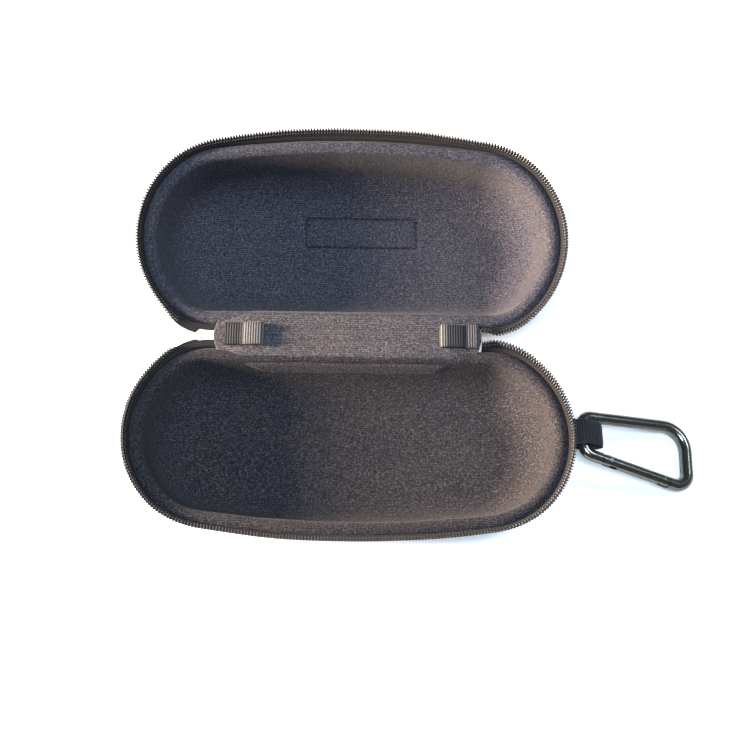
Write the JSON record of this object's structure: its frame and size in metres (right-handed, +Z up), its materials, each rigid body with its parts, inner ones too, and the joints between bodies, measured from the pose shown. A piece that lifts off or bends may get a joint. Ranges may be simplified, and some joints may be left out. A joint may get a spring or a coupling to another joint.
{
  "type": "zipped eyewear case",
  "caption": "Oval hard-shell eyewear case lying open, two lined bowls joined by a fabric spine, zip halves round the rims and a carabiner on a webbing loop.",
  "frame": {"origin": "centre of the base's flat underside", "axes": "+Z up, +X along the case towards the carabiner, +Y from the base across the spine to the lid"},
  "size_m": [0.2202, 0.161, 0.055],
  "materials": {
    "cover_fabric": "black woven polyester",
    "moulded_foam": "matte moulded EVA foam",
    "knit_lining": "charcoal brushed knit",
    "zip_tape": "black woven zip tape",
    "zip_coil": "black polyester coil",
    "sewing_thread": "black bonded thread",
    "grosgrain": "dark ribbed grosgrain ribbon",
    "zip_metal": "black lacquered zinc",
    "anodised_aluminium": "black anodised, glossy",
    "pin_steel": "bare steel",
    "badge_rubber": "blank soft PVC patch"
  },
  "bodies": {
    "base": {"base_cover": "cover_fabric", "base_shell": "moulded_foam", "base_lining": "knit_lining", "base_zip_tape": "zip_tape", "base_zip_coil": "zip_coil", "base_zip_seam": "sewing_thread", "strap_loop": "grosgrain"},
    "spine": {"spine_cover": "cover_fabric", "spine_stiffener": "moulded_foam", "spine_lining": "knit_lining", "hinge_tab_left": "grosgrain", "hinge_tab_right": "grosgrain", "hinge_tab_stitching": "sewing_thread", "zip_end_chain": "zip_coil", "zip_end_stop": "zip_metal", "zip_slider": "zip_metal", "slider_bail": "zip_metal"},
    "pull": {"pull_tab": "zip_metal"},
    "lid": {"lid_cover": "cover_fabric", "lid_shell": "moulded_foam", "lid_lining": "knit_lining", "lid_zip_tape": "zip_tape", "lid_zip_coil": "zip_coil", "lid_zip_seam": "sewing_thread", "lid_badge": "badge_rubber", "badge_stitching": "sewing_thread"},
    "carabiner": {"carabiner_hook": "anodised_aluminium", "gate_hinge_pin": "pin_steel"},
    "gate": {"carabiner_gate": "anodised_aluminium", "gate_latch_pin": "pin_steel", "gate_spring": "pin_steel"}
  },
  "joints": [
    {"name": "spine_fold", "type": "hinge", "parent": "base", "child": "spine", "pos_m": [0, 0.0373, 0.026], "axis": [1, 0, 0], "range_deg": [0, 80.5]},
    {"name": "lid_fold", "type": "hinge", "parent": "spine", "child": "lid", "pos_m": [0, 0.04637, 0.02752], "axis": [1, 0, 0], "range_deg": [0, 80.5]},
    {"name": "pull_swing", "type": "hinge", "parent": "spine", "child": "pull", "pos_m": [0.04525, 0.0427, 0.02158], "axis": [0, 0.9863, 0.165], "range_deg": [-80, 80]},
    {"name": "carabiner_swing", "type": "hinge", "parent": "base", "child": "carabiner", "pos_m": [0.0892, 0.0062, 0.0174], "axis": [0, -1, 0], "range_deg": [0, 100]},
    {"name": "gate_swing", "type": "hinge", "parent": "carabiner", "child": "gate", "pos_m": [0.09921, -0.00342, 0.01395], "axis": [0.3257, 0, 0.9455], "range_deg": [0, 30], "stiffness_Nm_per_rad": 0.03, "springref_deg": -28.65}
  ],
  "couplings": [
    {"joint": "lid_fold", "follows": "spine_fold", "ratio": 1}
  ]
}
